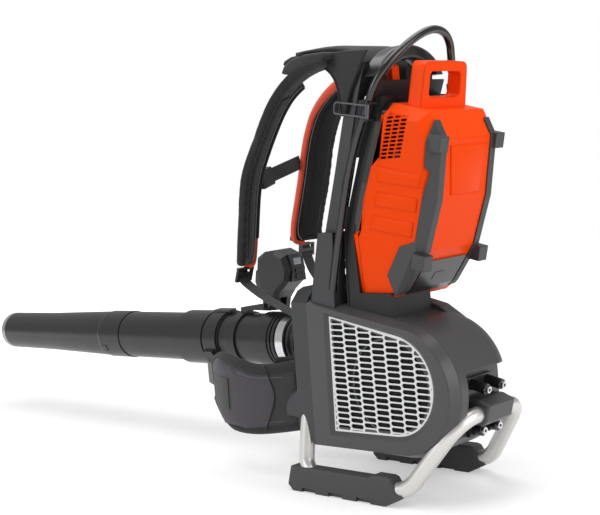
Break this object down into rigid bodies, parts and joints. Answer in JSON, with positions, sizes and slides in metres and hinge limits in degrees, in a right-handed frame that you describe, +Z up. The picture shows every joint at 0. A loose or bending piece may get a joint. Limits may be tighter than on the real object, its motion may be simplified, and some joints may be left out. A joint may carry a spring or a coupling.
{
  "type": "backpack leaf blower",
  "caption": "Battery backpack leaf blower: fan unit on a bent tube frame, battery pack, padded harness, hose, blow pipe and trigger grip.",
  "frame": {"origin": "middle of the footprint box on the floor", "axes": "+X to the back of the battery, -X along the blow pipe, +Y to the pipe's side (the user's right), +Z up"},
  "size_m": [1.5702, 0.3266, 0.7407],
  "materials": {
    "orange_shell": "glossy orange",
    "dark_shell": "fine grain black",
    "grey_housing": "satin dark grey",
    "black_rubber": "matt",
    "pipe_plastic": "satin black",
    "bare_aluminium": "satin",
    "steel": "bright",
    "black_fabric": "woven",
    "belt_fabric": "woven",
    "copper_core": "laminated",
    "cell_wrap": "shrink wrap",
    "board": "lacquered",
    "rim_plastic": "matt",
    "panel_plastic": "matt"
  },
  "bodies": {
    "frame": {"frame_tube": "bare_aluminium", "rubber_feet": "black_rubber", "anchor_block": "grey_housing", "mount_yoke": "dark_shell", "mount_screws": "steel", "harness_posts": "dark_shell", "post_sleeves": "grey_housing", "carry_handle": "dark_shell", "battery_latch": "orange_shell", "battery_tray": "grey_housing", "battery_cable": "black_rubber", "fan_housing": "grey_housing", "inlet_cover": "grey_housing", "inlet_grille": "steel", "fan_duct": "dark_shell", "motor_stator": "copper_core", "motor_cap": "dark_shell", "motor_bearings": "steel", "motor_controller": "dark_shell", "back_plate": "grey_housing", "back_pad": "black_fabric", "outlet_elbow": "pipe_plastic", "rear_hose_clamp": "steel", "battery_rear_shell": "orange_shell", "battery_front_shell": "dark_shell", "corner_guards": "dark_shell", "status_panel": "dark_shell", "battery_cells": "cell_wrap", "cell_tray": "dark_shell", "battery_board": "board", "cable_gland": "dark_shell", "shoulder_yoke": "black_fabric", "left_strap": "black_fabric", "right_strap": "black_fabric", "strap_webbing": "black_fabric", "harness_buckles": "dark_shell", "left_belt": "belt_fabric", "right_belt": "belt_fabric"},
    "fan": {"impeller": "dark_shell", "fan_nut": "steel", "motor_shaft": "steel", "motor_rotor": "copper_core"},
    "hose_link": {"flex_hose": "black_rubber"},
    "hose_front": {"front_hose_clamp": "steel", "swivel_collar": "pipe_plastic"},
    "pipe": {"rear_pipe": "pipe_plastic", "grip_bracket": "dark_shell"},
    "mid_pipe": {"middle_pipe": "pipe_plastic", "pipe_clamp": "pipe_plastic"},
    "nozzle_end": {"nozzle": "pipe_plastic", "nozzle_ring": "rim_plastic"},
    "grip": {"grip_shell_left": "dark_shell", "grip_shell_right": "dark_shell", "grip_pivot": "steel", "grip_display": "panel_plastic"},
    "trigger": {"throttle_trigger": "dark_shell"},
    "button_upper": {"mode_button_upper": "dark_shell"},
    "button_lower": {"mode_button_lower": "dark_shell"},
    "status_key": {"status_button": "dark_shell"},
    "clip": {"cable_clip": "steel"}
  },
  "joints": [
    {"name": "fan_spin", "type": "hinge", "parent": "frame", "child": "fan", "pos_m": [0.64387, -0.05776, 0.1835], "axis": [0, 1, 0], "continuous": true},
    {"name": "pipe_swing", "type": "hinge", "parent": "frame", "child": "hose_link", "pos_m": [0.33707, 0.10224, 0.2036], "axis": [0, 0, -1], "range_deg": [-8, 35], "deforming": ["flex_hose"]},
    {"name": "pipe_lift", "type": "hinge", "parent": "hose_link", "child": "hose_front", "pos_m": [0.26506, 0.10224, 0.20259], "axis": [0, 1, 0], "range_deg": [-20, 30]},
    {"name": "pipe_twist", "type": "hinge", "parent": "hose_front", "child": "pipe", "pos_m": [0.1685, 0.10224, 0.20107], "axis": [-0.9999, 0, -0.0157], "range_deg": [-40, 40]},
    {"name": "pipe_extend", "type": "slide", "parent": "pipe", "child": "mid_pipe", "axis": [-0.9999, 0, -0.0157], "range_m": [0, 0.06]},
    {"name": "nozzle_turn", "type": "hinge", "parent": "mid_pipe", "child": "nozzle_end", "pos_m": [-0.32144, 0.10224, 0.19338], "axis": [-0.9999, 0, -0.0157], "range_deg": [0, 25]},
    {"name": "grip_tilt", "type": "hinge", "parent": "pipe", "child": "grip", "pos_m": [0.16317, 0.10224, 0.27169], "axis": [0, 1, 0], "range_deg": [-20, 20]},
    {"name": "trigger_pull", "type": "hinge", "parent": "grip", "child": "trigger", "pos_m": [0.15116, 0.10224, 0.34659], "axis": [0, -1, 0], "range_deg": [0, 15], "stiffness_Nm_per_rad": 0.5, "springref_deg": -8.59},
    {"name": "upper_button_press", "type": "slide", "parent": "grip", "child": "button_upper", "axis": [-0.9965, 0, -0.083], "range_m": [0, 0.0015], "stiffness_N_per_m": 600, "springref_m": -0.001},
    {"name": "lower_button_press", "type": "slide", "parent": "grip", "child": "button_lower", "axis": [-0.9965, 0, -0.083], "range_m": [0, 0.0015], "stiffness_N_per_m": 600, "springref_m": -0.001},
    {"name": "status_key_press", "type": "slide", "parent": "frame", "child": "status_key", "axis": [-0.7986, 0, 0.6018], "range_m": [0, 0.0015], "stiffness_N_per_m": 600, "springref_m": -0.001},
    {"name": "clip_swing", "type": "hinge", "parent": "frame", "child": "clip", "pos_m": [0.64736, -0.14076, 0.6137], "axis": [0.1805, 0, 0.9836], "range_deg": [0, 100]}
  ]
}
